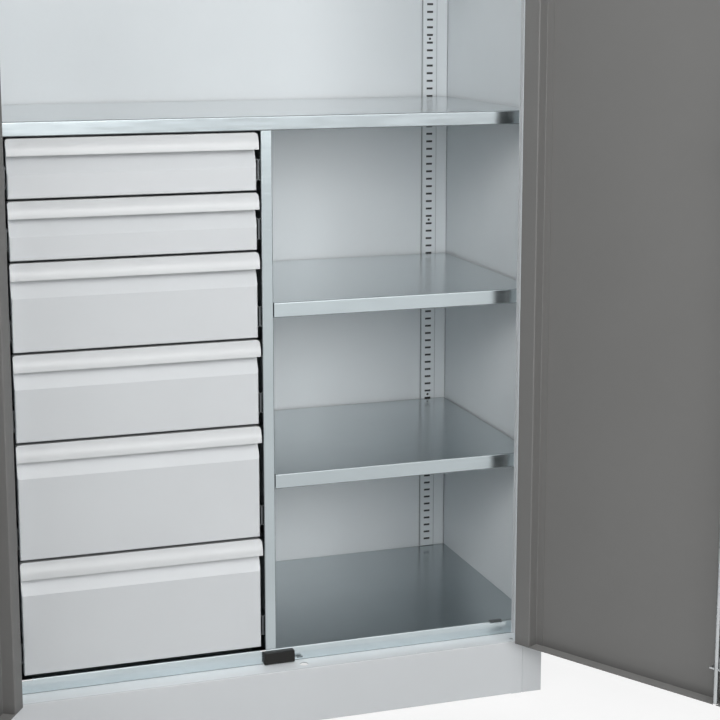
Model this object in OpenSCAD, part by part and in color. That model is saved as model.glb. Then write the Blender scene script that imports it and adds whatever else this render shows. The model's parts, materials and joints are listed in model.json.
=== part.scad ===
// Two-door steel workshop cupboard with six drawers on the left, shelves on the
// right and a full-width shelf over both. It is drawn with both doors swung open.
// X runs across the front, Y runs from the front to the back and Z runs up.
// The origin lies on the floor, at the middle of the footprint.

/* [Body] */
// Width over the side panels
body_w = 1000; // [960:10:1200]
// Depth from the front face to the back panel
body_d = 500; // [490:10:600]
// Height over the top panel
body_h = 1950; // [1890:15:2100]
// Thickness of the folded sheet steel
sheet = 1; // [0.8:0.1:1.2]
// Inner radius of the bends in the sheet
bend_r = 1; // [0.4:0.1:1.4]
// Width of each front stile
stile_w = 38; // [34:1:42]
// How far shelves and drawer fronts stand behind the front face
setback = 40; // [39:1:46]
// Width of the stop edge folded in behind each stile
stop_w = 5.5; // [4:0.5:8]
// Width of the rear flange of each side panel
rear_flange = 20; // [12:1:30]
// How far the back panel's face is sunk behind the rear flanges
back_inset = 9; // [7:0.5:14]
// Height of the plinth
plinth_h = 100; // [80:5:150]
// Height of the fascia over the doors
fascia_h = 36; // [30:1:60]
// How far ledge and soffit run in under the floor and over the doors
ledge_tuck = 14; // [10:1:20]
// Width of the plinth's folded foot
foot_w = 20; // [15:1:30]
// Thickness of the plinth's sheet
plinth_t = 1.5; // [1.2:0.1:2]

/* [Floor panel] */
// Diameter of the fixing holes in the ledge
ledge_hole_d = 7; // [5:0.5:9]
// Distance from a stile to the ledge's fixing hole
ledge_hole_x = 17; // [12:1:24]
// Distance from the front face to the ledge's fixing holes
ledge_hole_y = 13; // [9:1:18]
// Width of the reliefs in the front bend beside the stiles
notch_w = 25; // [15:1:30]
// Distance from a stile to the near end of its relief
notch_start = 23; // [18:1:30]
// Width of the relief in the front bend beside the divider
small_notch_w = 10; // [6:1:14]
// Depth of the reliefs
notch_drop = 2.5; // [1.5:0.5:4]
// Width of the slot low in the front lip
lip_slot_w = 11; // [8:1:16]
// Height of that slot
lip_slot_h = 3; // [2:0.5:5]
// Height of that slot over the ledge
lip_slot_z = 4; // [3:0.5:8]
// Distance from the lock's rods to that slot's left end
lip_slot_x = 7.5; // [5:0.5:10]

/* [Shelves] */
// Height of the front lip of the floor panel and half shelves
lip_h = 26; // [22:1:34]
// Height of the front lip of the full-width shelves
wide_lip_h = 24; // [20:1:30]
// Width of the return folded in under a shelf's lip
return_w = 14; // [8:1:16]
// Lower half shelf's height over the floor panel
half_low = 315; // [240:15:315]
// Upper half shelf's height over the lower one
half_step = 300; // [240:15:330]
// Upper full-width shelf's height over the middle one
upper_step = 420; // [360:15:480]
// Gap between a full-width shelf's end and the slotted rail there
end_gap = 1; // [0.5:0.5:3]
// Gap between a shelf's back edge and the slotted rail there
back_gap = 0.5; // [0.5:0.5:2]

/* [Slotted rails] */
// Width of a slotted rail
rail_w = 31; // [26:1:36]
// How far a rail stands proud of its wall
rail_d = 4; // [4:0.5:7]
// Thickness of the rail's sheet
rail_t = 1.5; // [1:0.1:1.8]
// Distance from the outer side face to the middle of a rear rail
rail_inset = 41; // [38:1:50]
// Distance from the shelves' front plane to the middle of a front rail
rail_front = 20; // [18:1:40]
// Width of a slot
slot_w = 13; // [10:1:15]
// Height of a slot
slot_h = 4; // [3:0.5:5]
// Spacing of the slots
slot_pitch = 15; // [15:1:20]
// Diameter of the screw holes between slots
screw_hole_d = 5; // [3:0.5:6]
// Number of slots from one screw hole to the next
slots_per_hole = 24; // [12:1:30]
// Height of the lowest screw hole over the floor panel
first_hole = 323; // [300:1:350]

/* [Shelf clips] */
// Width of a clip
clip_w = 12; // [8:1:13]
// Thickness of a clip
clip_t = 2; // [1.5:0.1:2.5]
// Reach of a clip under the shelf
clip_reach = 18; // [12:1:24]

/* [Divider and carrier] */
// Thickness of the divider between drawers and half shelves
divider_w = 20; // [16:1:30]
// Width of the carrier panel's front flange, up to the left stile
carrier_w = 22; // [18:1:30]
// Width of the carrier panel's rear flange
carrier_back_w = 15; // [10:1:17]
// Gap between the carrier's flange and the stop edge
carrier_gap = 0.5; // [0.3:0.1:1]

/* [Drawers] */
// Height of each of the two upper drawers, with its gap
low_pitch = 100; // [90:5:130]
// Height of each of the two middle drawers, with its gap
mid_pitch = 150; // [140:5:180]
// Height of each of the two lower drawers, with its gap
tall_pitch = 200; // [190:5:230]
// Gap between one drawer front and the next
front_gap = 3.7; // [3:0.1:5]
// Height of the lowest front over the floor panel
stack_base = 7; // [5:1:15]
// Gap between the top drawer's front and the shelf over it
stack_gap = 2.7; // [2:0.1:6]
// Gap between a front's end and the panel beside it
front_side_gap = 7.7; // [6:0.1:10]
// Gap between a grip's end and the panel beside it
grip_side_gap = 5.8; // [4:0.1:6]
// Depth of the front's pan
pan_d = 14; // [13:1:18]
// How far the recess behind the grip goes back
recess_d = 13; // [10:0.5:13]
// Distance from a front's top to the crease under its recess
crease_drop = 58; // [50:1:64]
// Height of the grip
grip_h = 27.2; // [24:0.2:30]
// How far the grip's lower part stands proud
grip_out = 10.5; // [8:0.5:12]
// How far the grip's top edge stands proud
grip_top = 0.6; // [0.5:0.1:2]
// Height of the flat stretch under the grip's rounding
grip_flat = 3.2; // [2.5:0.1:6]
// Thickness of the grip's wall
grip_t = 2; // [1.5:0.1:2.5]
// Thickness of the grip's end caps
grip_cap = 2.5; // [1.5:0.1:3]
// Radius of the grip's upper corners
grip_corner = 5; // [3:0.5:7]
// Width of the grip's curled lower edge
grip_curl = 4; // [3:0.5:5]
// Depth of the drawer box behind its front
box_d = 410; // [405:5:420]
// How much lower a box is than its front's pitch
box_short = 30; // [28:1:40]
// Height of a box's underside over its front's lower edge
box_lift = 8; // [6:1:10]
// Width of the rim folded in along a box's top
rim_w = 9; // [6:1:14]

/* [Drawer slides] */
// Length of a slide
slide_len = 400; // [350:5:400]
// Distance from the panel to the drawer box, which the slide fills
slide_w = 12.7; // [12.7:0.1:14]
// Height of the slide's outer member
slide_h = 36; // [32:1:40]
// Thickness of the slide's sheet
slide_t = 1.5; // [1.2:0.1:1.6]
// Running gap between the slide's members
slide_gap = 0.7; // [0.5:0.1:0.9]
// Width of the outer member's lips
slide_lip = 10.5; // [9:0.5:11]
// Height of the slide's middle over the box's underside
slide_lift = 25; // [22:1:30]
// Distance from the shelves' front plane to the slide's front end
slide_inset = 16; // [15:1:22]

/* [Doors] */
// Thickness of a door
door_t = 24; // [22:0.5:26]
// Gap between a door and its stile
door_gap = 2; // [1.5:0.1:3]
// Gap from each door's free edge to the middle of the cupboard
meet_gap = 1.5; // [1:0.1:3]
// Gap under a door
door_low_gap = 4; // [3:0.5:6]
// Gap over a door
door_top_gap = 3; // [2:0.5:6]
// Angle that the doors stand open at
open_angle = 120; // [90:5:120]
// Width of the box profile along each upright edge of a door
edge_w = 32; // [28:1:36]
// Width of the foot that joins the box profile to the door's skin
edge_foot = 13; // [8:1:13]
// Width of the strip on the left door's edge that the right door shuts on
strip_w = 40; // [34:1:44]
// How far that strip reaches in behind the right door
strip_reach = 16; // [10:1:22]
// Thickness of the strip
strip_t = 1.5; // [1:0.1:2]

/* [Hinges] */
// Outer diameter of a hinge barrel
barrel_d = 7; // [6:0.5:7]
// Diameter of a hinge pin
pin_d = 4; // [3:0.5:4]
// Radial clearance between pin and barrel
pin_clear = 0.05; // [0.02:0.01:0.1]
// How far the hinge axis stands before the front face
hinge_out = 4; // [4:0.1:5]
// Height of a hinge
hinge_h = 60; // [50:1:90]
// Height of the middle knuckle, which turns with the door
knuckle_h = 23; // [18:1:30]
// Gap between one knuckle and the next
knuckle_gap = 0.5; // [0.3:0.1:1]
// Width of a hinge leaf, from the axis outwards
leaf_w = 22; // [18:1:26]
// Thickness of a hinge leaf
leaf_t = 2; // [1.5:0.1:2]
// Distance from a door's end to the middle of its outer hinge
hinge_inset = 120; // [80:5:200]

/* [Lock] */
// Distance from the middle of the cupboard to the lock's rods
lock_x = 54; // [53:0.5:60]
// Height of the lock's middle
lock_z = 1010; // [950:5:1060]
// Distance from the front face to the middle of the rods
rod_in = 20; // [19.5:0.1:20]
// Diameter of a lock rod
rod_d = 8; // [6:0.5:8]
// Diameter of the holes that the rods shoot into
rod_hole_d = 15; // [12:0.5:18]
// Clearance between a rod and its guides
rod_clear = 0.3; // [0.2:0.1:0.5]
// Distance from the lock's middle to each disc pin
throw_r = 11; // [9:0.5:11]
// Diameter of a disc pin
disc_pin_d = 5; // [4:0.5:5]
// Clearance round a disc pin in its rod's slot
slot_clear = 0.7; // [0.6:0.1:0.8]
// Distance from the lock's middle to the end of a round rod
rod_start = 35; // [34:1:40]
// Distance of the outer rod guides from the door's ends
guide_end = 60; // [50:1:80]
// Distance of the inner rod guides from the lock
guide_step = 350; // [300:1:400]
// Thickness of a rod guide
guide_t = 3; // [2:0.5:4]
// Reach of a rod guide towards the door's hinges
guide_reach = 12; // [8:0.5:14]
// Reach of a rod guide towards the door's free edge
guide_back = 7; // [6:0.5:8]
// Height of a rod guide's foot above and below its tongue
guide_foot = 10; // [6:0.5:14]
// Diameter of the handle's spindle
spindle_d = 10; // [8:0.5:10]
// Radial clearance of the spindle
spindle_clear = 0.08; // [0.03:0.01:0.1]
// Length of the lever from the spindle
lever_len = 112; // [90:1:130]
// Width of the lever
lever_w = 20; // [16:1:24]
// Thickness of the lever
lever_t = 11; // [8:0.5:14]
// Height of the handle's hub over its rose
hub_h = 18; // [14:1:24]
// Diameter of the hub
hub_d = 26; // [22:1:30]
// Width of the rose
rose_w = 36; // [32:1:44]
// Height of the rose
rose_h = 120; // [80:1:140]
// Thickness of the rose
rose_t = 4; // [3:0.5:6]
// Half the outer width of the lock's case
case_w = 19; // [18.5:0.1:19]
// Height of the lock's case
case_h = 60; // [56:1:62]

/* [Door stop block] */
// Left end of the block, from the middle of the cupboard
stop_x = -14.4; // [-20:0.1:-10]
// Length of the block
stop_len = 54.8; // [40:0.1:60]
// Height of the block
stop_h = 20; // [14:1:22]
// Thickness of the block
stop_t = 9; // [6:0.5:10]

/* [Hidden] */
$fn = 48;
DRAWERS = [1, 2, 3, 4, 5, 6];

PAINT = [0.83, 0.85, 0.86];
ZINC = [0.66, 0.72, 0.75];
DOOR_PAINT = [0.46, 0.46, 0.45];
STEEL = [0.72, 0.73, 0.74];
BLACK = [0.07, 0.07, 0.08];

// Main planes
half_sheet = sheet / 2;
half_w = body_w / 2;
front_y = -body_d / 2;
inner_y = front_y + setback;
rear_y = body_d / 2;
back_y = rear_y - back_inset - sheet;
stile_x = half_w - stile_w;
wall_x = half_w - sheet;
floor_z = plinth_h + lip_h;
top_z = body_h - sheet;
soffit_z = body_h - fascia_h;
seam = 0.5;
shelf_back_y = back_y - rail_d - back_gap;
shelf_end_x = wall_x - rail_d - end_gap;

// Drawer stack
PITCHES = [low_pitch, low_pitch, mid_pitch, mid_pitch, tall_pitch, tall_pitch];
function sum(list, i = 0) = i >= len(list) ? 0 : list[i] + sum(list, i + 1);
function pitch_of(n) = PITCHES[n - 1];
function front_z0(n) = floor_z + stack_base + sum([for (k = DRAWERS) if (k > n) PITCHES[k - 1]]);
function front_z1(n) = front_z0(n) + pitch_of(n) - front_gap;
function box_z0(n) = front_z0(n) + box_lift;
function box_z1(n) = box_z0(n) + pitch_of(n) - box_short;
function slide_z(n) = box_z0(n) + slide_lift;
right_face_x = -divider_w / 2;
left_face_x = -(stile_x - stop_w - carrier_gap - carrier_w);
pan_y = inner_y + pan_d;

// Shelf heights
divider_top = floor_z + stack_base + sum(PITCHES) - front_gap + stack_gap;
middle_z = divider_top + wide_lip_h;
upper_z = middle_z + upper_step;
half_low_z = floor_z + half_low;
half_high_z = half_low_z + half_step;

// Slotted rails
hole_step = slot_pitch * slots_per_hole;
first_hole_z = floor_z + first_hole;
rail_z0 = floor_z + 1;
rail_z1 = soffit_z - 4;
slot_base = first_hole_z + slot_pitch / 2;
SLOTS = [for (k = [ceil((rail_z0 + slot_h - slot_base) / slot_pitch) :
                   floor((rail_z1 - slot_h - slot_base) / slot_pitch)]) slot_base + k * slot_pitch];
HOLES = [for (z = [first_hole_z : hole_step : rail_z1 - screw_hole_d]) z];
function slot_under(z) = slot_base + slot_pitch * floor((z - slot_base) / slot_pitch);
rear_rail_x = half_w - rail_inset;
front_rail_y = inner_y + rail_front;
divider_rear_y = shelf_back_y - 25;

// Doors and hinges
door_x0 = meet_gap;
door_x1 = stile_x - door_gap;
door_z0 = plinth_h + door_low_gap;
door_z1 = soffit_z - door_top_gap;
door_in_y = front_y + door_t;
hinge_x = stile_x - door_gap / 2;
hinge_y = front_y - hinge_out;
HINGE_Z = [door_z0 + hinge_inset, (door_z0 + door_z1) / 2, door_z1 - hinge_inset];
barrel_r = barrel_d / 2;
pin_r = pin_d / 2;

// Lock
rod_y = front_y + rod_in;
disc_t = 3;
plate_t = 3;
plate_y1 = rod_y - 3;
plate_y0 = plate_y1 - plate_t;
disc_y1 = plate_y0 - 1;
pin_offset = throw_r * cos(45);
rod_low_z = door_z0 + 1.5;
rod_high_z = door_z1 - 1.5;

// The direction and the length of the straight stretch that starts at point i
function run(path, i) = path[i + 1] - path[i];
function run_length(path, i) = norm(run(path, i));
function heading(path, i) = run(path, i) / run_length(path, i);

// The bend's middle radius at point i. It is limited by the stretches beside it.
function bend_at(path, i, t) = min(bend_r + t / 2, run_length(path, i - 1) / 2, run_length(path, i) / 2);

// How much a stretch gives up to the bend at point i. A free end reaches half a sheet further.
function given_up(path, i, t) = i == 0 || i == len(path) - 1 ? -t / 2 : bend_at(path, i, t);

module between(a, b) {
    translate([min(a[0], b[0]), min(a[1], b[1])]) square([abs(b[0] - a[0]), abs(b[1] - a[1])]);
}

// Folded sheet along a list of points, which are the sharp corners of its middle line
module folded(path, t = sheet) {
    for (i = [0 : len(path) - 2]) {
        along = heading(path, i);
        across = [along[1], along[0]] * t / 2;
        between(path[i] + along * given_up(path, i, t) - across,
                path[i + 1] - along * given_up(path, i + 1, t) + across);
    }
    for (i = [1 : len(path) - 2]) {
        r = bend_at(path, i, t);
        outward = heading(path, i - 1) - heading(path, i);
        translate(path[i] - outward * r) intersection() {
            difference() {
                circle(r = r + t / 2);
                circle(r = r - t / 2);
            }
            between([0, 0], outward * (r + t / 2));
        }
    }
}

// A rectangle between two corners with its corners rounded like a bend's outside
module rounded(lo, hi, r = bend_r + sheet) {
    between(lo + [r, 0], hi - [r, 0]);
    between(lo + [0, r], hi - [0, r]);
    for (x = [lo[0] + r, hi[0] - r], y = [lo[1] + r, hi[1] - r])
        translate([x, y]) circle(r = r);
}

// A box between two corners
module block(lo, hi) {
    translate(lo) cube(hi - lo);
}

// A Y and Z outline drawn out along X
module along_x(x0, x1) {
    translate([x0, 0, 0]) rotate([90, 0, 90]) linear_extrude(x1 - x0) children();
}

// An X and Z outline drawn out along Y
module along_y(y0, y1) {
    translate([0, y1, 0]) rotate([90, 0, 0]) linear_extrude(y1 - y0) children();
}

// An X and Y outline drawn out along Z
module along_z(z0, z1) {
    translate([0, 0, z0]) linear_extrude(z1 - z0) children();
}

module both_sides() {
    children();
    mirror([1, 0, 0]) children();
}

// Swings the right door's pieces open about its hinge
module opened() {
    translate([hinge_x, hinge_y, 0]) rotate([0, 0, open_angle])
        translate([-hinge_x, -hinge_y, 0]) children();
}

// Casing

module side_shape() {
    folded([[stile_x - stop_w + half_sheet, inner_y - half_sheet],
            [stile_x + half_sheet, inner_y - half_sheet],
            [stile_x + half_sheet, front_y + half_sheet],
            [half_w - half_sheet, front_y + half_sheet],
            [half_w - half_sheet, rear_y - half_sheet],
            [half_w - rear_flange + half_sheet, rear_y - half_sheet]]);
}

// The door stop strip ends where the plinth and the fascia's underside pass
module side_panel() {
    difference() {
        along_z(0, top_z) side_shape();
        for (z = [[-1, plinth_h], [soffit_z, top_z + 1]])
            block([stile_x - stop_w - 1, inner_y - stop_w, z[0]], [stile_x, inner_y + 1, z[1]]);
    }
}

module side_panel_right() {
    color(PAINT) side_panel();
}

module side_panel_left() {
    color(PAINT) mirror([1, 0, 0]) side_panel();
}

// Its side flanges stop short of the bends behind them
module back_panel() {
    x1 = wall_x - seam;
    y1 = rear_y - sheet - bend_r / 2;
    color(PAINT) {
        along_z(foot_w, top_z)
            folded([[-x1 + half_sheet, y1 - half_sheet], [-x1 + half_sheet, back_y + half_sheet],
                    [x1 - half_sheet, back_y + half_sheet], [x1 - half_sheet, y1 - half_sheet]]);
        for (z = [foot_w, top_z - sheet])
            block([-x1 + bend_r + sheet, back_y, z], [x1 - bend_r - sheet, y1, z + sheet]);
    }
}

module top_panel() {
    fascia_x = stile_x - seam;
    color(PAINT) difference() {
        union() {
            block([-half_w, front_y, top_z], [half_w, rear_y, body_h]);
            along_x(-fascia_x, fascia_x)
                folded([[front_y + half_sheet, body_h - half_sheet],
                        [front_y + half_sheet, soffit_z + half_sheet],
                        [inner_y + ledge_tuck - half_sheet, soffit_z + half_sheet],
                        [inner_y + ledge_tuck - half_sheet, top_z]]);
        }
        translate([lock_x, rod_y, soffit_z - 1]) cylinder(d = rod_hole_d, h = sheet + 2);
    }
}

// A cut through the floor panel's front lip
module front_cut(x, w, z, h) {
    block([x, inner_y - 1, z], [x + w, inner_y + 2 * sheet, z + h]);
}

module floor_panel() {
    floor_y1 = back_y - seam;
    color(ZINC) difference() {
        union() {
            along_x(-wall_x + seam, wall_x - seam)
                folded([[inner_y + return_w, plinth_h + half_sheet],
                        [inner_y + half_sheet, plinth_h + half_sheet],
                        [inner_y + half_sheet, floor_z - half_sheet],
                        [floor_y1 - half_sheet, floor_z - half_sheet],
                        [floor_y1 - half_sheet, plinth_h + half_sheet],
                        [floor_y1 - return_w, plinth_h + half_sheet]]);
            both_sides() along_x(wall_x - seam - sheet, wall_x - seam)
                rounded([inner_y, plinth_h], [floor_y1, floor_z]);
        }
        both_sides() front_cut(stile_x - notch_start - notch_w, notch_w, floor_z - notch_drop,
                               notch_drop + 1);
        front_cut(right_face_x + 1 - small_notch_w, small_notch_w, floor_z - notch_drop,
                  notch_drop + 1);
        front_cut(lock_x - lip_slot_x, lip_slot_w, plinth_h + lip_slot_z, lip_slot_h);
    }
}

module plinth_frame() {
    x1 = stile_x - seam;
    y1 = back_y - seam;
    ledge_y = inner_y + ledge_tuck;
    t = plinth_t / 2;
    color(PAINT) difference() {
        union() {
            along_x(-x1, x1)
                folded([[front_y + foot_w, t], [front_y + t, t], [front_y + t, plinth_h - t],
                        [ledge_y, plinth_h - t]], plinth_t);
            along_x(-x1, x1)
                folded([[y1 - foot_w, t], [y1 - t, t], [y1 - t, plinth_h - t],
                        [y1 - foot_w, plinth_h - t]], plinth_t);
            both_sides() along_y(front_y, y1)
                folded([[x1 - foot_w, t], [x1 - t, t], [x1 - t, plinth_h - t],
                        [x1 - foot_w, plinth_h - t]], plinth_t);
        }
        translate([lock_x, rod_y, plinth_h - plinth_t - 1])
            cylinder(d = rod_hole_d, h = plinth_t + 2);
        both_sides()
            translate([stile_x - ledge_hole_x, front_y + ledge_hole_y, plinth_h - plinth_t - 1])
                cylinder(d = ledge_hole_d, h = plinth_t + 2);
    }
}

// Divider, carrier and shelves

module divider_panel() {
    x = divider_w / 2 - half_sheet;
    lip = divider_w / 2 - 2;
    y0 = inner_y + half_sheet;
    y1 = shelf_back_y - half_sheet;
    color(ZINC) difference() {
        along_z(floor_z, divider_top)
            folded([[-x + lip, y1], [-x, y1], [-x, y0], [x, y0], [x, y1], [x - lip + sheet, y1]]);
        for (y = [front_rail_y, divider_rear_y], z = SLOTS)
            if (z < divider_top - slot_h)
                block([x - sheet, y - slot_w / 2, z - slot_h / 2],
                      [x + sheet, y + slot_w / 2, z + slot_h / 2]);
    }
}

module drawer_carrier_panel() {
    x = left_face_x - half_sheet;
    y0 = inner_y + half_sheet;
    y1 = shelf_back_y - half_sheet;
    color(ZINC) along_z(floor_z, divider_top)
        folded([[left_face_x - carrier_w + half_sheet, y0], [x, y0], [x, y1],
                [left_face_x - carrier_back_w + half_sheet, y1]]);
}

// One slotted rail, with its back on the X axis and its face towards minus Y
module rail() {
    half = rail_w / 2 - rail_t / 2;
    difference() {
        along_z(rail_z0, rail_z1)
            folded([[-half, -rail_t / 2], [-half, -rail_d + rail_t / 2],
                    [half, -rail_d + rail_t / 2], [half, -rail_t / 2]], rail_t);
        for (z = SLOTS)
            block([-slot_w / 2, -rail_d - 1, z - slot_h / 2],
                  [slot_w / 2, -rail_d + rail_t + 1, z + slot_h / 2]);
        for (z = HOLES)
            translate([0, -rail_d + rail_t + 1, z]) rotate([90, 0, 0])
                cylinder(d = screw_hole_d, h = rail_t + 2);
    }
}

module slotted_rails() {
    color(PAINT) both_sides() {
        translate([rear_rail_x, back_y, 0]) rail();
        translate([wall_x, front_rail_y, 0]) rotate([0, 0, -90]) rail();
    }
}

// A shelf with lips folded down all round, its top at z
module shelf(x0, x1, z, lip) {
    color(ZINC) {
        along_x(x0, x1)
            folded([[inner_y + return_w, z - lip + half_sheet],
                    [inner_y + half_sheet, z - lip + half_sheet],
                    [inner_y + half_sheet, z - half_sheet],
                    [shelf_back_y - half_sheet, z - half_sheet],
                    [shelf_back_y - half_sheet, z - lip + half_sheet],
                    [shelf_back_y - return_w, z - lip + half_sheet]]);
        for (x = [x0, x1 - sheet])
            along_x(x, x + sheet) rounded([inner_y, z - lip], [shelf_back_y, z]);
    }
}

module middle_shelf() {
    shelf(-shelf_end_x, shelf_end_x, middle_z, wide_lip_h);
}

module upper_shelf() {
    shelf(-shelf_end_x, shelf_end_x, upper_z, wide_lip_h);
}

module half_shelf_upper() {
    shelf(divider_w / 2 + end_gap, shelf_end_x, half_high_z, lip_h);
}

module half_shelf_lower() {
    shelf(divider_w / 2 + end_gap, shelf_end_x, half_low_z, lip_h);
}

// A shelf clip for a shelf whose underside is at z. It hangs on a wall along the X axis.
module clip(z, depth) {
    tab = slot_under(z - 5);
    half = clip_w / 2;
    block([-half, -clip_t, tab - 6], [half, 0, z]);
    block([-half, -clip_reach, z - clip_t], [half, -clip_t / 2, z]);
    block([-half, -clip_t / 2, tab - slot_h / 2 + 0.4], [half, depth, tab + slot_h / 2 - 0.4]);
}

module clip_set(z) {
    depth = rail_t + 1;
    translate([rear_rail_x, back_y - rail_d, 0]) clip(z, depth);
    translate([wall_x - rail_d, front_rail_y, 0]) rotate([0, 0, -90]) clip(z, depth);
}

module divider_clips(z) {
    for (y = [front_rail_y, divider_rear_y])
        translate([divider_w / 2, y, 0]) rotate([0, 0, 90]) clip(z, sheet + 1);
}

module shelf_clips() {
    color(STEEL) {
        both_sides() {
            clip_set(middle_z - wide_lip_h);
            clip_set(upper_z - wide_lip_h);
        }
        for (z = [half_high_z, half_low_z]) {
            clip_set(z - lip_h);
            divider_clips(z - lip_h);
        }
    }
}

module door_stop_block() {
    color(BLACK) block([stop_x, inner_y - stop_t, plinth_h + 2],
                       [stop_x + stop_len, inner_y, plinth_h + 2 + stop_h]);
}

// Drawers

// The front's side view, drawn in by the distance given. It leans back under the grip, and only
// the outside goes on up behind the grip.
module front_side(n, inset) {
    r = bend_r + sheet - inset;
    y0 = inner_y + inset;
    z0 = front_z0(n) + inset;
    z1 = front_z1(n);
    back = pan_y + inset;
    bend = [for (a = [270 : -22.5 : 180]) [y0 + r, z0 + r] + r * [cos(a), sin(a)]];
    lean = [[y0, z1 - crease_drop], [y0 + recess_d, z1 - grip_h]];
    upright = inset > 0 ? [[back, z1 - grip_h]]
                        : [[y0 + recess_d, z1 - grip_t], [back, z1 - grip_t]];
    polygon(concat(bend, lean, upright, [[back, z0]]));
}

// The front's blank from above, with both bends at its sides
module front_blank(inset) {
    rounded([left_face_x + front_side_gap + inset, inner_y + inset],
            [right_face_x - front_side_gap - inset, pan_y + pan_d], bend_r + sheet - inset);
}

module front_solid(n, inset) {
    intersection() {
        along_x(left_face_x, right_face_x) front_side(n, inset);
        along_z(front_z0(n), front_z1(n)) front_blank(inset);
    }
}

module drawer_front(n) {
    color(PAINT) difference() {
        front_solid(n, 0);
        front_solid(n, sheet);
    }
}

// The grip's side view: an arc from its top edge down to a short flat stretch
arc_h = grip_h - grip_flat;
arc_out = grip_out - grip_top;
arc_r = (arc_h * arc_h + arc_out * arc_out) / (2 * arc_out);

module grip_outline(z1) {
    y0 = inner_y - grip_out;
    intersection() {
        translate([y0 + arc_r, z1 - arc_h]) circle(r = arc_r, $fn = 180);
        between([y0, z1 - arc_h], [inner_y, z1]);
    }
    between([y0, z1 - grip_h], [inner_y, z1 - arc_h]);
}

// The hollow behind the grip's wall, and the finger opening up into it
module grip_hollow(z1) {
    y0 = inner_y - grip_out;
    back = inner_y + 1;
    intersection() {
        translate([y0 + arc_r, z1 - arc_h]) circle(r = arc_r - grip_t, $fn = 180);
        between([y0, z1 - arc_h], [back, z1 - grip_t]);
    }
    between([y0 + grip_t, z1 - grip_h + grip_t], [back, z1 - arc_h]);
    between([y0 + grip_curl, z1 - grip_h - 1], [back, z1 - grip_h + grip_t]);
}

// The grip's front view, with its two upper corners rounded
module grip_face(x0, x1, z0, z1) {
    r = grip_corner;
    turns = [0 : 15 : 90];
    left = [for (a = turns) [x0 + r - r * cos(a), z1 - r + r * sin(a)]];
    right = [for (a = turns) [x1 - r + r * sin(a), z1 - r + r * cos(a)]];
    polygon(concat([[x0, z0 - 1]], left, right, [[x1, z0 - 1]]));
}

module drawer_grip(n) {
    x0 = left_face_x + grip_side_gap;
    x1 = right_face_x - grip_side_gap;
    y0 = inner_y - grip_out;
    z1 = front_z1(n);
    z0 = z1 - grip_h;
    color(PAINT) difference() {
        intersection() {
            union() {
                along_x(x0, x1) grip_outline(z1);
                block([x0, inner_y, z1 - grip_t], [x1, pan_y, z1]);
            }
            along_y(y0 - 1, pan_y + 1) grip_face(x0, x1, z0, z1);
        }
        along_x(x0 + grip_cap, x1 - grip_cap) grip_hollow(z1);
    }
}

module drawer_box(n) {
    x0 = left_face_x + slide_w;
    x1 = right_face_x - slide_w;
    y0 = pan_y;
    y1 = pan_y + box_d;
    z0 = box_z0(n);
    z1 = box_z1(n);
    color(PAINT) {
        along_y(y0, y1)
            folded([[x0 + rim_w, z1 - half_sheet], [x0 + half_sheet, z1 - half_sheet],
                    [x0 + half_sheet, z0 + half_sheet], [x1 - half_sheet, z0 + half_sheet],
                    [x1 - half_sheet, z1 - half_sheet], [x1 - rim_w, z1 - half_sheet]]);
        block([x0, y0, z0], [x1, y0 + sheet, z1]);
        block([x0, y1 - sheet, z0], [x1, y1, z1]);
        block([x0, y1 - rim_w, z1 - sheet], [x1, y1, z1]);
    }
}

// One slide member's X and Z outline: a channel from u0 to u1 across, open towards plus X
module channel(u0, u1, half_h) {
    t = slide_t;
    folded([[u1 - t / 2, half_h - t / 2], [u0 + t / 2, half_h - t / 2],
            [u0 + t / 2, -half_h + t / 2], [u1 - t / 2, -half_h + t / 2]], t);
}

// Places a member's outline at both sides of drawer n
module slide_pair(n) {
    y0 = inner_y + slide_inset;
    for (place = [[left_face_x, 0], [right_face_x, 1]])
        translate([place[0], 0, slide_z(n)]) mirror([place[1], 0, 0])
            along_y(y0, y0 + slide_len) children();
}

middle_half = slide_h / 2 - slide_t - slide_gap;
inner_half = middle_half - slide_t - slide_gap;
middle_u0 = 4.4;

module cabinet_slides() {
    color(STEEL) for (n = DRAWERS)
        slide_pair(n) channel(0, slide_lip, slide_h / 2);
}

module drawer_middle_slides(n) {
    color(STEEL) slide_pair(n) channel(middle_u0, slide_lip + 0.5, middle_half);
}

module drawer_inner_slides(n) {
    u0 = middle_u0 + slide_t + slide_gap;
    color(STEEL) slide_pair(n) translate([slide_w, 0]) mirror([1, 0])
        channel(0, slide_w - u0, inner_half);
}

// Doors

module door_leaf() {
    y_skin = front_y + half_sheet;
    y_foot = y_skin + sheet;
    y_in = door_in_y - half_sheet;
    along_z(door_z0, door_z1)
        folded([[door_x0 + edge_w + edge_foot, y_foot], [door_x0 + edge_w - half_sheet, y_foot],
                [door_x0 + edge_w - half_sheet, y_in], [door_x0 + half_sheet, y_in],
                [door_x0 + half_sheet, y_skin], [door_x1 - half_sheet, y_skin],
                [door_x1 - half_sheet, y_in], [door_x1 - edge_w + half_sheet, y_in],
                [door_x1 - edge_w + half_sheet, y_foot], [door_x1 - edge_w - edge_foot, y_foot]]);
    for (z = [door_z0, door_z1 - sheet])
        along_z(z, z + sheet) rounded([door_x0, front_y], [door_x1, door_in_y]);
}

module right_door_leaf() {
    color(DOOR_PAINT) opened() difference() {
        door_leaf();
        for (z = [door_z0, door_z1 - sheet])
            translate([lock_x, rod_y, z - 1]) cylinder(d = rod_d + 4 * rod_clear, h = sheet + 2);
        translate([lock_x, front_y + sheet + 1, lock_z]) rotate([90, 0, 0])
            cylinder(d = spindle_d + 2, h = sheet + 2);
    }
}

module left_door_leaf() {
    color(DOOR_PAINT) mirror([1, 0, 0]) opened() door_leaf();
}

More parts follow.
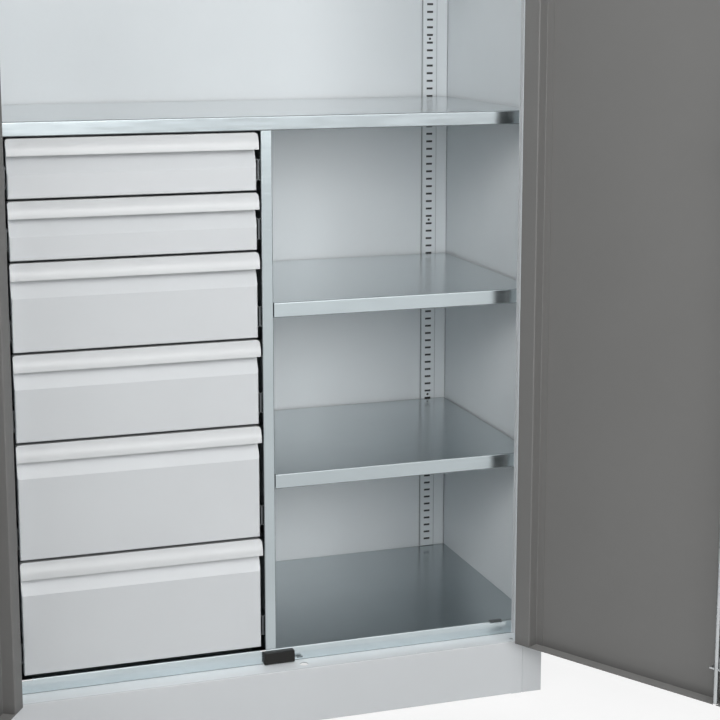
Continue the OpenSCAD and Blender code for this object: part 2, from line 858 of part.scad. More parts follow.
// The strip lies on the left door's inner edge and reaches past the door's free edge
module closing_strip() {
    gap = 0.5;
    color(DOOR_PAINT) mirror([1, 0, 0]) opened() {
        block([door_x0, door_in_y, door_z0 + 10], [strip_w - strip_reach, door_in_y + gap + strip_t,
                                                  door_z1 - 10]);
        block([-strip_reach, door_in_y + gap, door_z0 + 10], [door_x0, door_in_y + gap + strip_t,
                                                           door_z1 - 10]);
    }
}

// Hinges

module knuckle(z0, z1) {
    translate([hinge_x, hinge_y, z0]) difference() {
        cylinder(r = barrel_r, h = z1 - z0);
        translate([0, 0, -1]) cylinder(r = pin_r + pin_clear, h = z1 - z0 + 2);
    }
}

// A leaf beside the barrel, with a bridge to each knuckle that it carries. side is 1 or -1.
module hinge_leaf(z, side, spans) {
    half = hinge_h / 2;
    near = barrel_r + 1;
    wall = pin_r + pin_clear;
    xs = side > 0 ? [near, leaf_w] : [-leaf_w, -near];
    bridge = side > 0 ? [0, near] : [-near, 0];
    y1 = front_y;
    y0 = front_y - leaf_t;
    block([hinge_x + xs[0], y0, z - half], [hinge_x + xs[1], y1, z + half]);
    for (s = spans) difference() {
        union() {
            knuckle(z + s[0], z + s[1]);
            block([hinge_x + bridge[0], y0, z + s[0]], [hinge_x + bridge[1], y1, z + s[1]]);
        }
        translate([hinge_x, hinge_y, z + s[0] - 1]) cylinder(r = wall, h = s[1] - s[0] + 2);
    }
}

fixed_start = knuckle_h / 2 + knuckle_gap;

module frame_hinge_leaves() {
    color(DOOR_PAINT) both_sides() for (z = HINGE_Z)
        hinge_leaf(z, 1, [[-hinge_h / 2, -fixed_start], [fixed_start, hinge_h / 2]]);
}

module door_hinge_leaves() {
    opened() for (z = HINGE_Z)
        hinge_leaf(z, -1, [[-knuckle_h / 2, knuckle_h / 2]]);
}

module right_door_hinge_leaves() {
    color(DOOR_PAINT) door_hinge_leaves();
}

module left_door_hinge_leaves() {
    color(DOOR_PAINT) mirror([1, 0, 0]) door_hinge_leaves();
}

module hinge_pins() {
    head = 1.5;
    color(STEEL) both_sides() for (z = HINGE_Z)
        translate([hinge_x, hinge_y, z - hinge_h / 2 - head]) {
            cylinder(r = pin_r, h = hinge_h + 2 * head);
            cylinder(r = barrel_r, h = head);
            translate([0, 0, hinge_h + head]) cylinder(r = barrel_r, h = head);
        }
}

// Lock

module lock_rose() {
    color(STEEL) opened() difference() {
        block([lock_x - rose_w / 2, front_y - rose_t, lock_z - rose_h / 2],
              [lock_x + rose_w / 2, front_y, lock_z + rose_h / 2]);
        translate([lock_x, front_y + 1, lock_z]) rotate([90, 0, 0])
            cylinder(r = spindle_d / 2 + spindle_clear, h = rose_t + 2);
    }
}

module lock_case() {
    t = 1.2;
    cover_y = rod_y + 1;
    x0 = lock_x - case_w;
    x1 = lock_x + case_w;
    z0 = lock_z - case_h / 2;
    z1 = lock_z + case_h / 2;
    color(STEEL) opened() {
        block([x0, front_y + 2 * sheet, z0], [x0 + t, cover_y, z1]);
        block([x1 - t, front_y + sheet, z0], [x1, cover_y, z1]);
        block([x0, cover_y - t, z0], [x1, cover_y, z1]);
    }
}

module rod_guides() {
    t = guide_t;
    x0 = lock_x - guide_back;
    x1 = lock_x + guide_reach;
    y0 = front_y + sheet;
    places = [door_z0 + guide_end, lock_z - guide_step, lock_z + guide_step, door_z1 - guide_end];
    color(STEEL) opened() for (z = places)
        difference() {
            union() {
                block([x0, y0, z], [x1, door_in_y - 1, z + t]);
                block([x0, y0, z - guide_foot], [x1, y0 + t / 2, z + t + guide_foot]);
            }
            translate([lock_x, rod_y, z - 1]) cylinder(r = rod_d / 2 + rod_clear, h = t + 2);
        }
}

module door_handle() {
    y0 = front_y - rose_t - 0.5;
    hub_y = y0 - hub_h;
    bar_r = lever_w / 2;
    color(STEEL) opened() {
        translate([lock_x, disc_y1, lock_z]) rotate([90, 0, 0])
            cylinder(d = spindle_d, h = disc_y1 - hub_y);
        translate([lock_x, y0, lock_z]) rotate([90, 0, 0]) cylinder(d = hub_d, h = hub_h);
        translate([lock_x, hub_y + lever_t, lock_z]) rotate([90, 0, 0]) linear_extrude(lever_t) {
            translate([0, -bar_r]) square([lever_len - bar_r, lever_w]);
            translate([lever_len - bar_r, 0]) circle(r = bar_r);
        }
    }
}

module lock_disc() {
    disc_r = throw_r + 3.5;
    pin_tip = plate_y1 + 0.5;
    color(STEEL) opened() {
        translate([lock_x, disc_y1, lock_z]) rotate([90, 0, 0]) difference() {
            cylinder(r = disc_r, h = disc_t);
            translate([0, 0, -1]) cylinder(r = spindle_d / 2 + 0.05, h = disc_t + 2);
        }
        for (s = [-1, 1])
            translate([lock_x + s * pin_offset, pin_tip, lock_z + s * pin_offset]) rotate([90, 0, 0])
                cylinder(d = disc_pin_d, h = pin_tip - disc_y1 + disc_t / 2);
    }
}

// The upper rod's round bar and flat end. The lower rod is the same turned half round.
module rod_end() {
    slot_half = disc_pin_d / 2 + slot_clear;
    slot_x0 = -throw_r - slot_half;
    slot_x1 = -pin_offset + slot_half;
    plate_x0 = slot_x0 - 1.6;
    plate_x1 = slot_x1 + 2;
    low = -pin_offset - slot_half - 4;
    translate([lock_x, 0, lock_z]) difference() {
        union() {
            block([plate_x0, plate_y0, low], [plate_x1, plate_y1, rod_start + 8]);
            block([plate_x0, plate_y0, rod_start - 6], [rod_d / 2, plate_y1, rod_start + 8]);
        }
        block([slot_x0, plate_y0 - 1, -pin_offset - slot_half],
              [slot_x1, plate_y1 + 1, -pin_offset + slot_half]);
    }
}

module upper_lock_rod() {
    z0 = lock_z + rod_start;
    color(STEEL) opened() {
        rod_end();
        translate([lock_x, rod_y, z0]) cylinder(d = rod_d, h = rod_high_z - z0);
    }
}

module lower_lock_rod() {
    z1 = lock_z - rod_start;
    color(STEEL) opened() {
        translate([lock_x, 0, lock_z]) rotate([0, 180, 0]) translate([-lock_x, 0, -lock_z]) rod_end();
        translate([lock_x, rod_y, rod_low_z]) cylinder(d = rod_d, h = z1 - rod_low_z);
    }
}

side_panel_left();
side_panel_right();
back_panel();
top_panel();
floor_panel();
plinth_frame();
divider_panel();
drawer_carrier_panel();
slotted_rails();
middle_shelf();
upper_shelf();
half_shelf_upper();
half_shelf_lower();
shelf_clips();
door_stop_block();
frame_hinge_leaves();
hinge_pins();
cabinet_slides();
right_door_leaf();
right_door_hinge_leaves();
lock_rose();
lock_case();
rod_guides();
door_handle();
lock_disc();
upper_lock_rod();
lower_lock_rod();
left_door_leaf();
left_door_hinge_leaves();
closing_strip();
for (n = DRAWERS) {
    drawer_box(n);
    drawer_front(n);
    drawer_grip(n);
    drawer_middle_slides(n);
    drawer_inner_slides(n);
}
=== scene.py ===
"""Looks, studio and camera for the two-door workshop cupboard with drawers."""
import json
import math

import bmesh
import bpy
from mathutils import Matrix, Vector


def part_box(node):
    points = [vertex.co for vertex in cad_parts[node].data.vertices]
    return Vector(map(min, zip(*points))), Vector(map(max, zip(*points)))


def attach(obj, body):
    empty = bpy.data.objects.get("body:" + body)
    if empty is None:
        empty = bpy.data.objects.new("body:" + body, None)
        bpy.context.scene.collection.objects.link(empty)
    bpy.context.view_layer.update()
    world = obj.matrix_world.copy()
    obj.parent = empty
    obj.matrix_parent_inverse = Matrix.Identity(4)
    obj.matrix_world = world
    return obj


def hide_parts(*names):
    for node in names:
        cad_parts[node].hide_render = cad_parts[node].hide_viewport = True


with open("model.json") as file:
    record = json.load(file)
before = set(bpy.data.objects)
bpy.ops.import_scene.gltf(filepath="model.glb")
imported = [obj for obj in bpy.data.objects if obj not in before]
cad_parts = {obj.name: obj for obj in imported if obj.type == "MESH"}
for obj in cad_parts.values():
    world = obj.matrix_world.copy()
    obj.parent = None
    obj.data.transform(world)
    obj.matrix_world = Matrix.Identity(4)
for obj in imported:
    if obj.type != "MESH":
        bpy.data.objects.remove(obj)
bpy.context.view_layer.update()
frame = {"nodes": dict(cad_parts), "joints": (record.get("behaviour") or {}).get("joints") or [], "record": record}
nodes = frame["nodes"]
joints = {joint["name"]: joint for joint in frame["joints"]}

# Corners of the CAD nodes that the looks follow, in metres as everywhere here
rails_low, rails_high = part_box("slotted_rails")
shelf_low, shelf_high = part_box("middle_shelf")
floor_low, floor_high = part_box("floor_panel")
door_low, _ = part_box("right_door_leaf")

# The thickness of the folded sheets
SHEET = 0.001

# Camera: a photographer's view from the front left, a little above the drawers.
# Angles are in degrees, and the lens and sensor in millimetres.
CAMERA_PLACE = (-0.7435, -2.9234, 1.2503)
CAMERA_YAW = 18.491
CAMERA_PITCH = 9.758
CAMERA_LENS = 84.59
CAMERA_SENSOR = 36
CAMERA_SHIFT = -0.1


def add_camera():
    data = bpy.data.cameras.new("camera")
    data.sensor_width = CAMERA_SENSOR
    data.lens = CAMERA_LENS
    data.shift_y = CAMERA_SHIFT
    camera = bpy.data.objects.new("camera", data)
    camera.location = CAMERA_PLACE
    camera.rotation_euler = (math.radians(90 - CAMERA_PITCH), 0, math.radians(-CAMERA_YAW))
    bpy.context.collection.objects.link(camera)
    bpy.context.scene.camera = camera


# Shaders

class Shader:
    """A material with its Principled shader and short ways to add nodes."""

    def __init__(self, name, color, roughness, metallic=0.0):
        self.material = bpy.data.materials.new(name)
        self.material.use_nodes = True
        self.tree = self.material.node_tree
        self.main = self.tree.nodes["Principled BSDF"]
        self.roughness = roughness
        self.set("Base Color", (*color, 1))
        self.set("Roughness", roughness)
        self.set("Metallic", metallic)
        coordinates = self.add("ShaderNodeTexCoord")
        self.place = coordinates.outputs["Object"]
        self.facing = coordinates.outputs["Normal"]

    def set(self, socket, value):
        self.main.inputs[socket].default_value = value

    def add(self, kind, **values):
        node = self.tree.nodes.new(kind)
        for key, value in values.items():
            setattr(node, key, value)
        return node

    def link(self, source, target):
        self.tree.links.new(source, target)

    def geometry(self, output):
        """The surface's own Normal or Position in the world."""
        return self.add("ShaderNodeNewGeometry").outputs[output]

    def split(self, vector):
        """The three parts of a vector."""
        apart = self.add("ShaderNodeSeparateXYZ")
        self.link(vector, apart.inputs["Vector"])
        return [apart.outputs[axis] for axis in "XYZ"]

    def math(self, operation, *values):
        """One Math node over numbers and sockets."""
        node = self.add("ShaderNodeMath", operation=operation)
        for socket, value in zip(node.inputs, values):
            if isinstance(value, (int, float)):
                socket.default_value = value
            else:
                self.link(value, socket)
        return node.outputs["Value"]

    def product(self, *values):
        """All values multiplied."""
        result = values[0]
        for value in values[1:]:
            result = self.math("MULTIPLY", result, value)
        return result

    def within(self, value, low, high):
        """1 where a value lies between two limits, and 0 elsewhere."""
        return self.math("COMPARE", value, (low + high) / 2, (high - low) / 2)

    def noise(self, scale, detail=2.0, stretch=(1, 1, 1)):
        """A noise over the object's own coordinates, in features per metre."""
        mapping = self.add("ShaderNodeMapping")
        mapping.inputs["Scale"].default_value = stretch
        self.link(self.place, mapping.inputs["Vector"])
        noise = self.add("ShaderNodeTexNoise")
        noise.inputs["Scale"].default_value = scale
        noise.inputs["Detail"].default_value = detail
        self.link(mapping.outputs["Vector"], noise.inputs["Vector"])
        return noise.outputs["Fac"]

    def spread(self, value, low, high, start=0.3, end=0.7):
        """Maps start to end onto low to high. A noise lies mostly between the default limits."""
        ramp = self.add("ShaderNodeMapRange")
        for key, number in (("From Min", start), ("From Max", end), ("To Min", low), ("To Max", high)):
            ramp.inputs[key].default_value = number
        self.link(value, ramp.inputs["Value"])
        return ramp.outputs["Result"]

    def turn(self, share, level):
        """1 where a share is 0, and a level where it is 1."""
        return self.spread(share, 1, level, 0, 1)

    def mix(self, share, first, second):
        """A colour between two colours."""
        mix = self.add("ShaderNodeMix", data_type="RGBA")
        mix.inputs["A"].default_value = (*first, 1)
        mix.inputs["B"].default_value = (*second, 1)
        self.link(share, mix.inputs["Factor"])
        return mix.outputs["Result"]

    def tint(self, noise, dark, light):
        """Colours the surface between two colours by a noise."""
        self.link(self.mix(self.spread(noise, 0, 1), dark, light), self.main.inputs["Base Color"])

    def paint(self, color, factor):
        """Colours the surface with a colour or a colour socket, lighter or darker by a factor."""
        shade = self.add("ShaderNodeVectorMath", operation="SCALE")
        if isinstance(color, tuple):
            shade.inputs[0].default_value = color
        else:
            self.link(color, shade.inputs[0])
        self.link(factor, shade.inputs["Scale"])
        self.link(shade.outputs["Vector"], self.main.inputs["Base Color"])

    def repaint(self, factor):
        """Makes the colour that is linked so far lighter or darker by a factor."""
        self.paint(self.main.inputs["Base Color"].links[0].from_socket, factor)

    def roughen(self, noise, swing, more=None):
        """Lets the roughness swing by a noise, and adds more to it."""
        level = self.spread(noise, self.roughness - swing, self.roughness + swing)
        if more is not None:
            level = self.math("ADD", level, more)
        self.link(level, self.main.inputs["Roughness"])

    def bump(self, noise, depth, strength):
        """Raises the surface by a noise, up to a depth in metres."""
        bump = self.add("ShaderNodeBump")
        bump.inputs["Distance"].default_value = depth
        bump.inputs["Strength"].default_value = strength
        self.link(noise, bump.inputs["Height"])
        self.link(bump.outputs["Normal"], self.main.inputs["Normal"])


def scaled(color, factor):
    return tuple(min(1.0, channel * factor) for channel in color)


# The largest part of a normal where a sheet counts as fully bent, and where it counts as flat
BENT, FLAT = 0.985, 0.999


def bend(shader):
    """1 where a sheet is bent, and 0 on its flat faces."""
    x, y, z = (shader.math("ABSOLUTE", part) for part in shader.split(shader.geometry("Normal")))
    return shader.spread(shader.math("MAXIMUM", shader.math("MAXIMUM", x, y), z), 1, 0, BENT, FLAT)


# Paint

# The upward part of a normal where a face starts to count as leaning, and where it fully does, for the painted
# light on faces that lean up
LEAN_START, LEAN_END = 0.03, 0.1

# A door's lower end plate, how much a painted light makes it lighter, and how dark and how high the painted shade
# over it is
PLATE_TOP = door_low.z + SHEET
PLATE_LIGHT = 0.6
PLATE_UP = 0.9
DOOR_SHADE = 0.28
DOOR_SHADE_TOP = PLATE_TOP + 0.016
DOOR_INSIDE = -0.4


def door_foot_light_and_shade(shader):
    """Painted light and shade at the foot of a door's pan: the lower end plate is painted lighter, and the inner
    side of the skin just over it gets a painted shadow. The inner side is known by how it faces on the open door."""
    _, side, up = shader.split(shader.facing)
    z = shader.split(shader.place)[2]
    plate = shader.product(shader.math("GREATER_THAN", up, PLATE_UP),
                           shader.math("LESS_THAN", z, PLATE_TOP + SHEET), PLATE_LIGHT)
    skin = shader.product(shader.math("LESS_THAN", side, DOOR_INSIDE),
                          shader.spread(z, DOOR_SHADE, 0, PLATE_TOP, DOOR_SHADE_TOP))
    return shader.math("ADD", 1, shader.math("SUBTRACT", plate, skin))


def coat_surface(shader, peel, more=None):
    """The uneven gloss and the orange peel of baked powder."""
    shader.roughen(shader.noise(40, 3), 0.03, more)
    shader.bump(shader.noise(700), 0.00006, peel)


def powder_coat(name, color, roughness, peel=0.25, lean_light=0.0, door=False):
    """Baked powder coat: a fine orange peel and a faint unevenness of colour and gloss.
    Where a face leans up, as under the grips of the drawers, a painted light makes the colour lighter by the share
    given, standing in for the light that falls on it from above."""
    shader = Shader(name, color, roughness)
    shader.tint(shader.noise(6, 3), scaled(color, 0.985), scaled(color, 1.015))
    if lean_light:
        # Painted light: faces that lean up are made lighter
        up = shader.split(shader.geometry("Normal"))[2]
        shader.repaint(shader.spread(up, 1, 1 + lean_light, LEAN_START, LEAN_END))
    # Painted light on the door's lower end plate, and a painted shadow on the skin over it
    if door:
        shader.repaint(door_foot_light_and_shade(shader))
    coat_surface(shader, peel)
    return shader.material


CASING_MIDDLE = (0, 0, 0.97)
RAIL_WIDTH = 0.031
REAR_RAIL_X = rails_high.x - 0.0555
RAIL_SHADE = 0.94
# How much of the painted light on the inward faces stays at the bends
INSIDE_BEND_SHARE = 0.2

# A hair's breadth, which keeps the limits of a shade off the faces of the rails
HAIR = 0.0001


def at_wall(shader, value, wall):
    """1 close to the inner face of a wall, and 0 elsewhere."""
    return shader.within(value, wall - 2 * SHEET - HAIR, wall + SHEET / 2)


def shade_behind_rails(shader):
    """1 where a painted shade darkens the walls inside the slotted rails, so that they show dark through their
    slots, and on the foot of the rails' sides that face the cupboard's middle or its rear."""
    x, y, z = shader.split(shader.place)
    x = shader.math("ABSOLUTE", x)
    rear = shader.product(at_wall(shader, y, rails_high.y),
                          shader.within(x, REAR_RAIL_X - HAIR, REAR_RAIL_X + RAIL_WIDTH - HAIR))
    side = shader.product(at_wall(shader, x, rails_high.x),
                          shader.within(y, rails_low.y + HAIR, rails_low.y + RAIL_WIDTH + HAIR))
    return shader.product(shader.math("MAXIMUM", rear, side),
                          shader.within(z, rails_low.z - HAIR, rails_high.z + HAIR))


def inward(shader):
    """1 on faces that look towards the casing's middle, and 0 on the others."""
    way = shader.add("ShaderNodeVectorMath", operation="SUBTRACT")
    way.inputs[0].default_value = CASING_MIDDLE
    shader.link(shader.geometry("Position"), way.inputs[1])
    match = shader.add("ShaderNodeVectorMath", operation="DOT_PRODUCT")
    shader.link(shader.geometry("Normal"), match.inputs[0])
    shader.link(way.outputs["Vector"], match.inputs[1])
    return shader.spread(match.outputs["Value"], 0, 1, -0.001, 0.001)


def casing_coat(name, outside, inside, roughness):
    """The casing's powder coat, with a painted light that makes the faces that look into the cupboard lighter, a
    painted shade behind the slotted rails, and dull at its bends: rougher there, with less of the painted light.
    """
    shader = Shader(name, outside, roughness)
    bent = bend(shader)
    share = shader.product(inward(shader), shader.turn(bent, INSIDE_BEND_SHARE))
    # A random unevenness of the paint, and a painted shade behind the slotted rails
    grade = shader.product(shader.spread(shader.noise(6, 3), 0.985, 1.015),
                           shader.turn(shade_behind_rails(shader), 1 - RAIL_SHADE))
    shader.paint(shader.mix(share, outside, inside), grade)
    coat_surface(shader, 0.25, shader.product(bent, 0.2))
    return shader.material


# Metal and plastic

# Where the zinc sheets are shaded, and how much
LIP_Y = shelf_low.y + 0.003
STILE_START, STILE_END = 0.456, 0.464
STILE_SHADE = 0.88
WIDE_LIP_SHADE = 0.14
EDGE_Y = shelf_high.y - 0.006
EDGE_X = shelf_high.x - 0.0025
EDGE_SHADE = 0.45
SHELVES_FROM_Z = 0.2
RELIEF_AT_SIDE = (0.4143, 0.4387)
RELIEF_IN_MIDDLE = (-0.0187, -0.0093)
RELIEF_FRONT = 0.0007
RELIEF_REAR = 0.01
RELIEF_DEPTH = 0.003
RELIEF_SHADE = 0.95
FLOOR_LIP_LIGHT = 0.3
# The level that the zinc's colour falls to at its bends, a painted shade that tones down their highlights
BEND_SHADE = 0.7


def shelf_shade(shader, x, y, z):
    """How dark a shelf is: along its rear and end edges, on its lip where that runs behind the stile, and a
    little on the whole lip of a full-width shelf."""
    wide = shader.product(shader.math("GREATER_THAN", z, shelf_low.z), WIDE_LIP_SHADE)
    stile = shader.spread(x, 0, STILE_SHADE, STILE_START, STILE_END)
    lip = shader.product(shader.math("MAXIMUM", stile, wide), shader.math("LESS_THAN", y, LIP_Y))
    edge = shader.math("MAXIMUM", shader.math("GREATER_THAN", y, EDGE_Y),
                       shader.math("GREATER_THAN", x, EDGE_X))
    shade = shader.math("MAXIMUM", lip, shader.product(edge, EDGE_SHADE))
    return shader.product(shade, shader.math("GREATER_THAN", z, SHELVES_FROM_Z))


def sheet_shade(shader):
    """How dark the zinc is: on the shelves, and in the reliefs of the floor panel's front bend.
    Below 0, on the floor panel's lip, it is lighter."""
    across, y, z = shader.split(shader.place)
    x = shader.math("ABSOLUTE", across)
    shelf = shelf_shade(shader, x, y, z)
    cut = shader.math("MAXIMUM", shader.within(x, *RELIEF_AT_SIDE), shader.within(across, *RELIEF_IN_MIDDLE))
    relief = shader.product(cut, shader.within(y, floor_low.y + RELIEF_FRONT, floor_low.y + RELIEF_REAR),
                            shader.within(z, floor_high.z - RELIEF_DEPTH, floor_high.z + SHEET / 2),
                            RELIEF_SHADE)
    floor_lip = shader.product(shader.math("LESS_THAN", y, LIP_Y),
                               shader.math("LESS_THAN", z, floor_high.z - SHEET / 2), FLOOR_LIP_LIGHT)
    return shader.math("SUBTRACT", shader.math("MAXIMUM", shelf, relief), floor_lip)


def galvanised(name, color, roughness):
    """Zinc-coated sheet: a soft mirror with faint rolling streaks and cloudy spangle, dull at its bends: rougher
    there, and darker by a painted shade that tones down their highlights.
    """
    shader = Shader(name, color, roughness, 1.0)
    bent = bend(shader)
    clouds = shader.spread(shader.noise(9, 4), 0.965, 1.035)
    shader.paint(color, shader.product(clouds, shader.math("SUBTRACT", 1, sheet_shade(shader)),
                                       shader.turn(bent, BEND_SHADE)))
    shader.roughen(shader.noise(14, 4, (1, 14, 14)), 0.035, shader.product(bent, 0.3))
    shader.bump(shader.noise(160, 3, (0.12, 1, 1)), 0.00002, 0.3)
    shader.set("Coat Weight", 1.0)
    shader.set("Coat Roughness", 0.2)
    return shader.material


def plated(name, color, roughness):
    """Bright zinc plating on small steel parts."""
    shader = Shader(name, color, roughness, 1.0)
    shader.tint(shader.noise(60, 3), scaled(color, 0.94), scaled(color, 1.06))
    shader.roughen(shader.noise(120, 3), 0.06)
    shader.bump(shader.noise(900), 0.00002, 0.2)
    return shader.material


# A painted shade on the grips behind the drawers' fronts, where they lie in the narrow slot under the next front
GAP_Y = shelf_low.y - 0.0003
GAP_SHADE = 0.45


def moulded(name, color, roughness, grain=0.3, gloss=0.5, gap_shade=False):
    """Moulded plastic with a fine even grain."""
    shader = Shader(name, color, roughness)
    shader.set("Specular IOR Level", gloss)
    shader.tint(shader.noise(12), scaled(color, 0.98), scaled(color, 1.02))
    # Painted shade on the part of the grip behind the front
    if gap_shade:
        y = shader.split(shader.place)[1]
        shader.repaint(shader.turn(shader.math("GREATER_THAN", y, GAP_Y), GAP_SHADE))
    shader.roughen(shader.noise(90, 3), 0.03)
    shader.bump(shader.noise(1400), 0.00005, grain)
    return shader.material


CASING_COLOR = (0.52, 0.54, 0.555)
# The inside colour is painted light: a lighter copy of the casing's paint for the faces inside the cupboard
INSIDE_LIT_COLOR = (0.82, 0.857, 0.877)
DRAWER_COLOR = (0.53, 0.55, 0.565)
GRIP_COLOR = (0.552, 0.568, 0.577)
DOOR_COLOR = (0.146, 0.145, 0.141)
ZINC_COLOR = (0.425, 0.48, 0.50)
ZINC_ROUGHNESS = 0.2
STEEL_COLOR = (0.50, 0.52, 0.53)
BLACK_COLOR = (0.011, 0.011, 0.01)

# Painted light and shade on some sheets beside ZINC_COLOR: the full-width shelves and the floor panel are
# painted darker, and the upper half shelf lighter, to match how the light falls on them
SHEET_LIGHT_AND_SHADE = {"middle_shelf": 0.88, "upper_shelf": 0.88, "half_shelf_upper": 1.08, "floor_panel": 0.93}


def make_materials():
    """The materials by the slot, the kind of piece or the node that they are for."""
    materials = {
        "casing_paint": casing_coat("casing_paint", CASING_COLOR, INSIDE_LIT_COLOR, 0.5),
        "galvanised_sheet": galvanised("galvanised_sheet", ZINC_COLOR, ZINC_ROUGHNESS),
        "zinc_plated_steel": plated("zinc_plated_steel", STEEL_COLOR, 0.3),
        # The slides get a painted shade: a darker copy of the zinc plating, so that they show dark beside the
        # drawers' fronts
        "drawer_slides_shaded": plated("drawer_slides_shaded", scaled(STEEL_COLOR, 0.35), 0.42),
        "door_paint": powder_coat("door_paint", DOOR_COLOR, 0.62, 0.35, door=True),
        "satin_steel": plated("satin_steel", scaled(STEEL_COLOR, 1.1), 0.28),
        "black_plastic": moulded("black_plastic", BLACK_COLOR, 0.6, gloss=0.25),
        "drawer_paint": powder_coat("drawer_paint", DRAWER_COLOR, 0.38, lean_light=0.1),
        "grip_plastic": moulded("grip_plastic", GRIP_COLOR, 0.36, 0.15, gap_shade=True),
    }
    for name, painted_level in SHEET_LIGHT_AND_SHADE.items():
        materials[name] = galvanised(name, scaled(ZINC_COLOR, painted_level), ZINC_ROUGHNESS)
    return materials


def dress(materials):
    """Gives every CAD node its own material, the slides' one, or that of its slot."""
    for part in frame["record"]["subparts"]:
        name = part["node"]
        slot = "drawer_slides_shaded" if "slide" in name else part["material_slot"]
        mesh = nodes[name].data
        mesh.materials.clear()
        mesh.materials.append(materials.get(name) or materials[slot])


def soften(name, width, segments):
    """Breaks the sharp edges of a solid piece."""
    weld = nodes[name].modifiers.new("weld", "WELD")
    weld.merge_threshold = 0.00001
    bevel = nodes[name].modifiers.new("edges", "BEVEL")
    bevel.width = width
    bevel.segments = segments
    bevel.limit_method = "ANGLE"
    bevel.angle_limit = math.radians(40)


# The lever handle, drawn on the closed door and swung open with it

DOOR_HINGE = Vector(joints["right_door_hinge"]["pos_m"])
OPEN_ANGLE = -math.radians(joints["right_door_hinge"]["range_deg"][0])
SWING = Matrix.Translation(DOOR_HINGE) @ Matrix.Rotation(OPEN_ANGLE, 4, "Z") @ Matrix.Translation(-DOOR_HINGE)
SPINDLE = SWING.inverted() @ Vector(joints["handle_turn"]["pos_m"])

# Depths are the frame's Y with the door shut
ROSE_FRONT = -0.254
HUB_FRONT = -0.2725
HUB_RADIUS = 0.013
HUB_REAR = ROSE_FRONT - 0.0005
HUB_EDGE = 0.0022
HUB_CHAMFER = 0.0007
SPINDLE_RADIUS = 0.005
SPINDLE_FRONT = ROSE_FRONT - 0.002
SPINDLE_REAR = -0.237

# The lever from its hub to its tip: it swells in the middle, gets thinner and curls back
LEVER_LENGTH = 0.112
LEVER_HALF_WIDTH = 0.0088
LEVER_SWELL = 0.0012
SWELL_PACE = 1.15
LEVER_HALF_DEPTH = 0.0056
LEVER_THINNING = 0.0008
LEVER_MIDDLE = HUB_FRONT + 0.0058
LEVER_CURL = 0.0022
CURL_START = 0.55
TIP_START = 0.86
TIP_ROUNDING = 2.2
TIP_WIDTH, TIP_DEPTH = 0.22, 0.3


def handle_point(x, y, z):
    """A point of the handle on the shut door, from its offsets to the spindle's middle and its depth."""
    return Vector((SPINDLE.x + x, y, SPINDLE.z + z))


def ring(bm, points):
    return [bm.verts.new(point) for point in points]


def around(count):
    """Even angles round a circle."""
    return [2 * math.pi * i / count for i in range(count)]


def skin(bm, rings):
    """Closed rings joined into a skin, with both ends capped."""
    for near, far in zip(rings, rings[1:]):
        for i in range(len(near)):
            j = (i + 1) % len(near)
            bm.faces.new((near[i], near[j], far[j], far[i]))
    bm.faces.new(rings[0])
    bm.faces.new(list(reversed(rings[-1])))


def turned(bm, profile, sides):
    """A turned form about the handle's axis, from pairs of radius and depth."""
    skin(bm, [ring(bm, [handle_point(radius * math.cos(a), y, radius * math.sin(a)) for a in around(sides)])
              for radius, y in profile])


def lever(bm, sides=28, steps=26):
    """A grip that leaves the hub, swells a little and curls back towards the door at its tip."""
    rings = []
    for step in range(steps + 1):
        share = step / steps
        tip = max(0.0, (share - TIP_START) / (1 - TIP_START))
        fade = math.sqrt(max(0.0, 1 - tip ** TIP_ROUNDING))
        swell = LEVER_SWELL * math.sin(math.pi * min(1, share * SWELL_PACE))
        half_width = (LEVER_HALF_WIDTH + swell) * max(fade, TIP_WIDTH)
        half_depth = (LEVER_HALF_DEPTH - LEVER_THINNING * share) * max(fade, TIP_DEPTH)
        middle = LEVER_MIDDLE + LEVER_CURL * max(0.0, share - CURL_START) / (1 - CURL_START)
        points = []
        for a in around(sides):
            c, s = math.cos(a), math.sin(a)
            squared = (abs(c) ** 3 + abs(s) ** 3) ** (-1 / 3)
            points.append(handle_point(LEVER_LENGTH * share, middle + half_depth * s * squared,
                                       half_width * c * squared))
        rings.append(ring(bm, points))
    skin(bm, rings)


def add_handle(material):
    bm = bmesh.new()
    rounding = [math.radians(angle) for angle in range(0, 91, 15)]
    edge = [(HUB_RADIUS + HUB_EDGE * (math.sin(a) - 1), HUB_FRONT + HUB_EDGE * (1 - math.cos(a)))
            for a in rounding]
    seat = [(HUB_RADIUS, HUB_REAR - HUB_CHAMFER), (HUB_RADIUS - HUB_CHAMFER, HUB_REAR)]
    turned(bm, edge + seat, sides=48)
    turned(bm, [(SPINDLE_RADIUS, SPINDLE_FRONT), (SPINDLE_RADIUS, SPINDLE_REAR)], sides=32)
    lever(bm)
    bmesh.ops.recalc_face_normals(bm, faces=bm.faces)
    bm.transform(SWING)
    mesh = bpy.data.meshes.new("lever_handle")
    bm.to_mesh(mesh)
    bm.free()
    mesh.shade_smooth()
    mesh.materials.append(material)
    handle = bpy.data.objects.new("lever_handle", mesh)
    bpy.context.collection.objects.link(handle)
    crisp = handle.modifiers.new("crisp", "EDGE_SPLIT")
    crisp.split_angle = math.radians(38)
    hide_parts("door_handle")
    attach(handle, "handle")


# Studio

FLOOR_SIZE = 40
FLOOR_COLOR = (0.86, 0.86, 0.86)
FLOOR_LIFT = 0.8
LIFT_START, LIFT_END = 2.5, 9
SKY_COLOR = (0.97, 0.985, 1)


def seen_directly(tree):
    """1 for what the camera, metal and glass see, and 0 for what only lights the object."""
    path = tree.nodes.new("ShaderNodeLightPath")
    seen = path.outputs["Is Camera Ray"]
    for ray in ("Is Glossy Ray", "Is Transmission Ray"):
        either = tree.nodes.new("ShaderNodeMath")
        either.operation = "MAXIMUM"
        tree.links.new(seen, either.inputs[0])
        tree.links.new(path.outputs[ray], either.inputs[1])
        seen = either.outputs[0]
    return seen


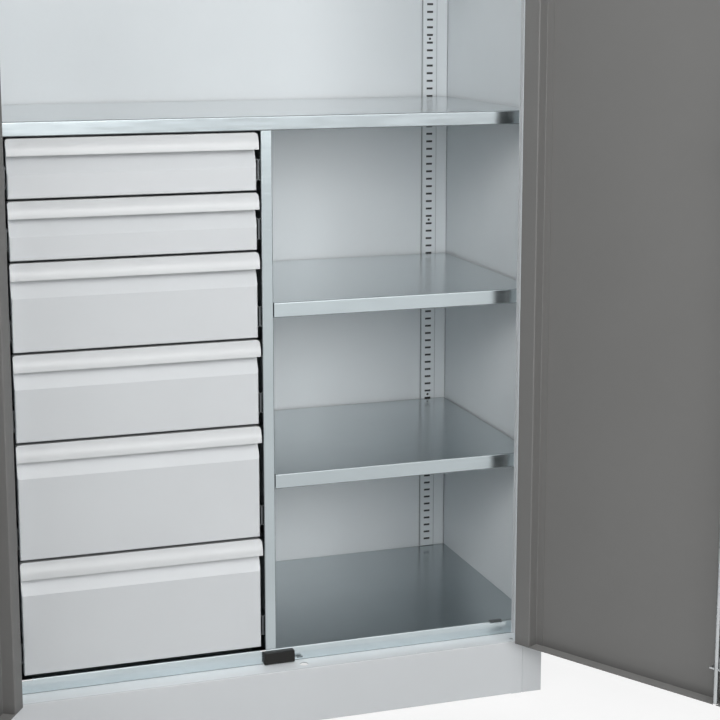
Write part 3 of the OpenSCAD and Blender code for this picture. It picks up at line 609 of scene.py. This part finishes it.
def add_floor():
    """A pale floor. Near the object, where its shadows stay, it is lifted a part of the way to pure white for
    the eye. Far out it gets fully white, so that no horizon shows."""
    bpy.ops.mesh.primitive_plane_add(size=FLOOR_SIZE)
    plane = bpy.context.object
    plane.name = "floor"
    shader = Shader("floor", FLOOR_COLOR, 0.9)
    shader.tint(shader.noise(0.6, 1), scaled(FLOOR_COLOR, 0.99), FLOOR_COLOR)
    distance = shader.add("ShaderNodeVectorMath", operation="LENGTH")
    shader.link(shader.place, distance.inputs[0])
    lift = shader.spread(distance.outputs["Value"], FLOOR_LIFT, 1, LIFT_START, LIFT_END)
    glow = shader.add("ShaderNodeEmission")
    mix = shader.add("ShaderNodeMixShader")
    shader.link(shader.product(seen_directly(shader.tree), lift), mix.inputs["Fac"])
    shader.link(shader.main.outputs["BSDF"], mix.inputs[1])
    shader.link(glow.outputs["Emission"], mix.inputs[2])
    shader.link(mix.outputs["Shader"], shader.tree.nodes["Material Output"].inputs["Surface"])
    plane.data.materials.append(shader.material)


def add_sky():
    """A white that the camera and metal see. It gives no light."""
    world = bpy.data.worlds.new("studio")
    bpy.context.scene.world = world
    world.use_nodes = True
    tree = world.node_tree
    background = tree.nodes["Background"]
    background.inputs["Color"].default_value = (*SKY_COLOR, 1)
    tree.links.new(seen_directly(tree), background.inputs["Strength"])


# Soft boxes that stand round the object and look at one point. Each has its azimuth, which grows from the
# front to the right, its elevation, its distance, its width and its power in watts.
LAMP_TARGET = Vector((0, 0, 0.8))
LAMPS = [
    (-42, 24, 5.5, 1.9, 61.9),
    (0, 13, 5.5, 1.9, 30.6),
    (18, 13, 5.5, 1.9, 64.9),
    (28, 22, 5.5, 1.9, 13.9),
    (-48, 20.4, 2.87, 0.9, 5.9),
    (-9, 18.7, 2.03, 0.9, 10.8),
    (90, 30, 5.5, 4, 110),
    (180, 30, 5.5, 4, 120),
    (0, 80, 5.5, 4, 80),
    (-90, 25, 5.5, 4, 80),
]


def add_lamp(number, azimuth, elevation, distance, size, power):
    """A square soft box, placed from one row of LAMPS."""
    a, e = math.radians(azimuth), math.radians(elevation)
    way = Vector((math.sin(a) * math.cos(e), -math.cos(a) * math.cos(e), math.sin(e)))
    data = bpy.data.lights.new(f"lamp_{number}", "AREA")
    data.size = size
    data.energy = power
    lamp = bpy.data.objects.new(data.name, data)
    lamp.location = LAMP_TARGET + distance * way
    lamp.rotation_euler = (-way).to_track_quat("-Z", "Y").to_euler()
    bpy.context.collection.objects.link(lamp)


add_camera()
materials = make_materials()
dress(materials)
soften("door_stop_block", 0.0005, 2)
soften("lock_rose", 0.0012, 3)
add_handle(materials["satin_steel"])
add_floor()
add_sky()
for number, lamp in enumerate(LAMPS):
    add_lamp(number, *lamp)

bpy.context.scene.view_settings.view_transform = "Standard"
